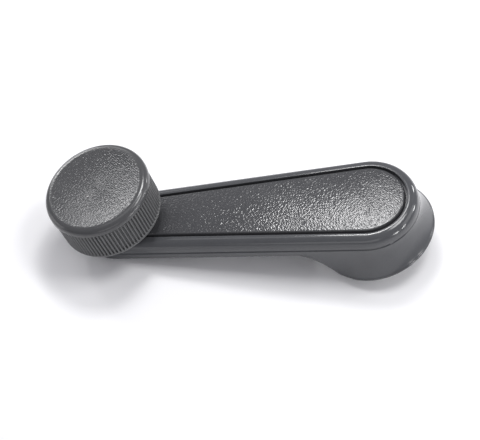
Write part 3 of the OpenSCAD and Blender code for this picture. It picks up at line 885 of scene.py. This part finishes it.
class CRANK_OT_fittings(Operator):
    """Gives the metal and bearing parts their finishes"""

    bl_idname = "crank.fittings"
    bl_label = "Fittings"

    def execute(self, context):
        zinc = metal("cast_zinc", (0.44, 0.44, 0.42), rough=0.46, relief=0.012 * MM)
        plated = metal("plated_steel", (0.52, 0.52, 0.50), rough=0.30, relief=0.003 * MM)
        spring = metal("phosphated_spring_steel", (0.16, 0.16, 0.17), rough=0.42, relief=0.004 * MM,
                       stretch=(0.15, 1, 1))
        finishes = {"hub_insert": zinc, "spindle_clip": spring, "knob_bush": bush_plastic("natural_acetal"),
                    "knob_pin": plated, "thrust_washer": plated, "spring_washer": spring,
                    "backing_washer": plated}
        for node, material in finishes.items():
            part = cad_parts[node]
            if not part.material_slots:
                part.data.materials.append(material)
            for place in part.material_slots:
                place.material = material
        return {"FINISHED"}


def direction(azimuth, elevation):
    """The unit vector towards a compass direction and height, as the views have them."""
    return Vector((math.sin(azimuth) * math.cos(elevation), -math.cos(azimuth) * math.cos(elevation),
                   math.sin(elevation)))


def lamp(name, aim, azimuth, elevation, distance, size, power):
    """A soft rectangular lamp in that direction from the aim point, in degrees as the views use."""
    towards = direction(math.radians(azimuth), math.radians(elevation))
    data = bpy.data.lights.new(name, "AREA")
    data.shape, data.size, data.size_y, data.energy = "RECTANGLE", *size, power
    light = placed(name, data)
    light.location = Vector(aim) + towards * distance
    light.visible_camera = False
    light.rotation_mode = "QUATERNION"
    light.rotation_quaternion = (-towards).to_track_quat("-Z", "Y")


ARM_MIDDLE, HUB_FRONT, HUB_TOP = (-0.05, 0, 0.03), (0.005, -0.012, 0.023), (0.004, -0.009, 0.0235)
# Name, aim point, azimuth, elevation, distance, size and watts at full strength
LAMPS = (
    ("key_behind", HUB_TOP, 181, 66, 0.28, (0.055, 0.055), 0.2),
    ("key_right", ARM_MIDDLE, 155, 60, 0.6, (0.16, 0.16), 0.95),
    ("overhead", ARM_MIDDLE, 185, 83, 0.6, (0.35, 0.2), 0.25),
    ("left_behind", ARM_MIDDLE, 202, 34, 0.7, (0.2, 0.2), 0.3),
    ("right_window", HUB_FRONT, 100, 59, 0.4, (0.15, 0.13), 0.7),
    ("knob_behind", ARM_MIDDLE, 220, 38, 0.5, (0.06, 0.06), 0.3),
    ("low_left_behind", ARM_MIDDLE, 219, 21, 0.5, (0.2, 0.15), 0.45),
    ("low_left", ARM_MIDDLE, 270, 20, 0.6, (0.3, 0.2), 0.3),
    ("low_front", ARM_MIDDLE, 5, 16, 0.6, (0.4, 0.2), 0.3),
    ("low_right", ARM_MIDDLE, 90, 9, 0.45, (0.3, 0.2), 0.3),
    *(("streak_%d" % n, HUB_FRONT, azimuth, elevation, 0.35, (0.06, 0.04), 0.18)
      for n, azimuth, elevation in ((1, 137, 4), (2, 106, -7), (3, 68, -8), (4, 50, -7))),
)


def place_camera(scene, p):
    """The camera that matches the photo, with its aim point a few pixels off the picture's middle."""
    aim, aim_right_px, aim_up_px = Vector((-0.052, 0, 0.02)), 6.02, -2.4
    picture_w, sensor_w = 480, 36
    back = direction(p.azimuth, p.elevation)
    right = (-back).cross(Vector((0, 0, 1))).normalized()
    up = right.cross(-back)
    c, n = math.cos(p.roll), math.sin(p.roll)
    right, up = c * right + n * up, c * up - n * right
    shift = (right * aim_right_px + up * aim_up_px) * (p.distance * sensor_w / (p.lens * picture_w))
    camera = placed("camera", bpy.data.cameras.new("camera"))
    camera.data.lens, camera.data.sensor_width, camera.data.sensor_fit = p.lens, sensor_w, "HORIZONTAL"
    camera.data.clip_start, camera.data.clip_end = 0.01, 10
    camera.matrix_world = Matrix.Translation(aim + back * p.distance - shift) \
        @ Matrix((right, up, back)).transposed().to_4x4()
    scene.camera = camera


def mix_surfaces(tree, factor, first, second, output):
    """The output's surface, mixed from two shaders by a factor."""
    pick = tree.nodes.new("ShaderNodeMixShader")
    for value, socket in ((factor, pick.inputs["Fac"]), (first, pick.inputs[1]), (second, pick.inputs[2]),
                          (pick.outputs[0], output.inputs["Surface"])):
        tree.links.new(value, socket)


def lay_floor(p, s):
    """The table that the handle lies on, with the back of its foot and the tip of its arm. It is
    seen from above only and fades out all round."""
    half_w, fade_from, fade_to, middle_at = 0.4, 0.16, 0.28, 0.045
    low = Vector((-s.foot_r, 0, -0.1 * MM))
    tip = leaned(s, (-s.arm_len - s.tip_mouth_r - s.rim_w, 0, -s.rim_h))
    slope = (Vector(tip) - low).normalized()
    normal = Vector((0, 1, 0)).cross(slope)
    normal = normal if normal.z > 0 else -normal
    side = normal.cross(slope)
    middle = low + slope * middle_at
    mesh = bpy.data.meshes.new("floor")
    corners = [middle + (slope * u + side * v) * half_w for u, v in ((-1, -1), (1, -1), (1, 1), (-1, 1))]
    mesh.from_pydata([list(q) for q in corners], [], [(0, 1, 2, 3)])
    floor = placed("floor", mesh)
    if mesh.polygons[0].normal.dot(normal) < 0:
        mesh.flip_normals()
    material, tree, shader, where = finish_nodes("pale_floor")
    shader.inputs["Base Color"].default_value = (*p.floor_colour, 1)
    shader.inputs["Roughness"].default_value = 0.9
    shader.inputs["Specular IOR Level"].default_value = 0.2
    away = worked_out(tree, "ShaderNodeVectorMath", "DISTANCE", where, middle)
    gone = worked_out(tree, "ShaderNodeMath", "MAXIMUM", ranged(tree, away, 0, 1, fade_from, fade_to),
                      tree.nodes.new("ShaderNodeNewGeometry").outputs["Backfacing"])
    clear = tree.nodes.new("ShaderNodeBsdfTransparent")
    mix_surfaces(tree, gone, shader.outputs[0], clear.outputs[0], tree.nodes["Material Output"])
    mesh.materials.append(material)


def light_world(scene):
    """A plain, faintly cool light from all round, seen by the camera as white."""
    world = bpy.data.worlds.new("studio")
    world.use_nodes = True
    scene.world = world
    tree = world.node_tree
    plain, seen = tree.nodes["Background"], tree.nodes.new("ShaderNodeBackground")
    plain.inputs["Color"].default_value = (0.94, 0.93, 1.0, 1)
    plain.inputs["Strength"].default_value = 0.38
    seen.inputs["Color"].default_value = (1, 1, 1, 1)
    path = tree.nodes.new("ShaderNodeLightPath")
    mix_surfaces(tree, path.outputs["Is Camera Ray"], plain.outputs[0], seen.outputs[0],
                 tree.nodes["World Output"])


class CRANK_OT_stage(Operator):
    """Builds the floor, the lamps and the camera"""

    bl_idname = "crank.stage"
    bl_label = "Stage"

    def execute(self, context):
        scene, p = context.scene, context.scene.crank_stage
        place_camera(scene, p)
        lay_floor(p, arm_sizes())
        light_world(scene)
        for *placing, watts in LAMPS:
            lamp(*placing, watts * p.lamp_power)
        scene.view_settings.view_transform = "Standard"
        return {"FINISHED"}


class CRANK_PT_panel(Panel):
    """The crank's sizes, colours and pieces"""

    bl_idname = "CRANK_PT_panel"
    bl_label = "Window crank"
    bl_space_type = "VIEW_3D"
    bl_region_type = "UI"
    bl_category = "Crank"

    def draw(self, context):
        for name, operators in (("arm", ("arm", "fittings")), ("inlay", ("inlay",)), ("knob", ("knob",)),
                                ("stage", ("stage",))):
            group, box = getattr(context.scene, "crank_" + name), self.layout.box()
            for key in setting_names(group):
                box.prop(group, key)
            for operator in operators:
                box.operator("crank." + operator)


SETTINGS = {"crank_arm": CrankArmSettings, "crank_inlay": CrankInlaySettings,
            "crank_knob": CrankKnobSettings, "crank_stage": CrankStageSettings}
OPERATORS = (CRANK_OT_arm, CRANK_OT_inlay, CRANK_OT_knob, CRANK_OT_fittings, CRANK_OT_stage)


def register():
    """Adds the settings, operators and panel."""
    for name, group in SETTINGS.items():
        bpy.utils.register_class(group)
        setattr(bpy.types.Scene, name, PointerProperty(type=group))
    for made in (*OPERATORS, CRANK_PT_panel):
        bpy.utils.register_class(made)


def unregister():
    """Takes them out again."""
    for made in (CRANK_PT_panel, *OPERATORS[::-1]):
        bpy.utils.unregister_class(made)
    for name, group in SETTINGS.items():
        delattr(bpy.types.Scene, name)
        bpy.utils.unregister_class(group)


def main():
    """Builds everything in order."""
    register()
    bpy.ops.crank.arm()
    bpy.ops.crank.inlay()
    bpy.ops.crank.knob()
    bpy.ops.crank.fittings()
    bpy.ops.crank.stage()


if __name__ == "__main__":
    main()
